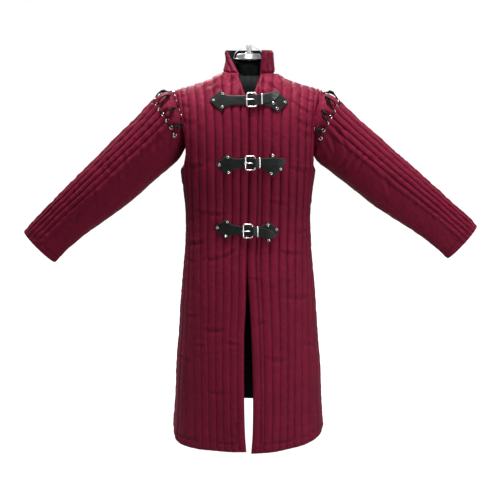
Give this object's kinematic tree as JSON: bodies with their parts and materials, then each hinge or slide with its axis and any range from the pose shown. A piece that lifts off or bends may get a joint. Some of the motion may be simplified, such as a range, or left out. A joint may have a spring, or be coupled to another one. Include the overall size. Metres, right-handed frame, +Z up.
{
  "type": "padded gambeson on a hanging shoulder form",
  "caption": "Knee-length padded arming coat with upright quilted channels, standing collar, laced-on sleeves, buckled leather front straps and riding slit, on a hanging shoulder form.",
  "frame": {"origin": "top of the hanging form's post, on its axis", "axes": "+Z up along the post, +X to the wearer's left along the sleeves' span, +Y to the wearer's back, so the front faces -Y"},
  "size_m": [1.345, 0.3376, 1.172],
  "materials": {
    "cloth": "burgundy cotton, quilted over padding, soft sheen",
    "lining": "plain black cotton",
    "leather": "smooth black strap leather",
    "lace": "black braided cord",
    "metal": "polished nickel",
    "cap": "polished dark metal neck cap",
    "form": "matt black"
  },
  "bodies": {
    "root": {"back": "cloth", "buckle_lower": "metal", "buckle_middle": "metal", "buckle_upper": "metal", "chape_lower": "leather", "chape_middle": "leather", "chape_upper": "leather", "collar": "cloth", "form_cap": "cap", "form_post": "metal", "form_shoulders": "form", "form_wire_left": "metal", "form_wire_right": "metal", "front_left": "cloth", "front_right": "cloth", "keeper_lower": "metal", "keeper_middle": "metal", "keeper_upper": "metal", "lace_left": "lace", "lace_right": "lace", "lining_back": "lining", "lining_collar": "lining", "lining_front_left": "lining", "lining_front_right": "lining", "lining_sleeve_left": "lining", "lining_sleeve_right": "lining", "prong_lower": "metal", "prong_middle": "metal", "prong_upper": "metal", "rivet_lower_1": "metal", "rivet_lower_2": "metal", "rivet_lower_3": "metal", "rivet_lower_4": "metal", "rivet_lower_5": "metal", "rivet_lower_6": "metal", "rivet_middle_1": "metal", "rivet_middle_2": "metal", "rivet_middle_3": "metal", "rivet_middle_4": "metal", "rivet_middle_5": "metal", "rivet_middle_6": "metal", "rivet_upper_1": "metal", "rivet_upper_2": "metal", "rivet_upper_3": "metal", "rivet_upper_4": "metal", "rivet_upper_5": "metal", "rivet_upper_6": "metal", "sleeve_left": "cloth", "sleeve_right": "cloth", "strap_lower": "leather", "strap_middle": "leather", "strap_upper": "leather"}
  },
  "joints": []
}
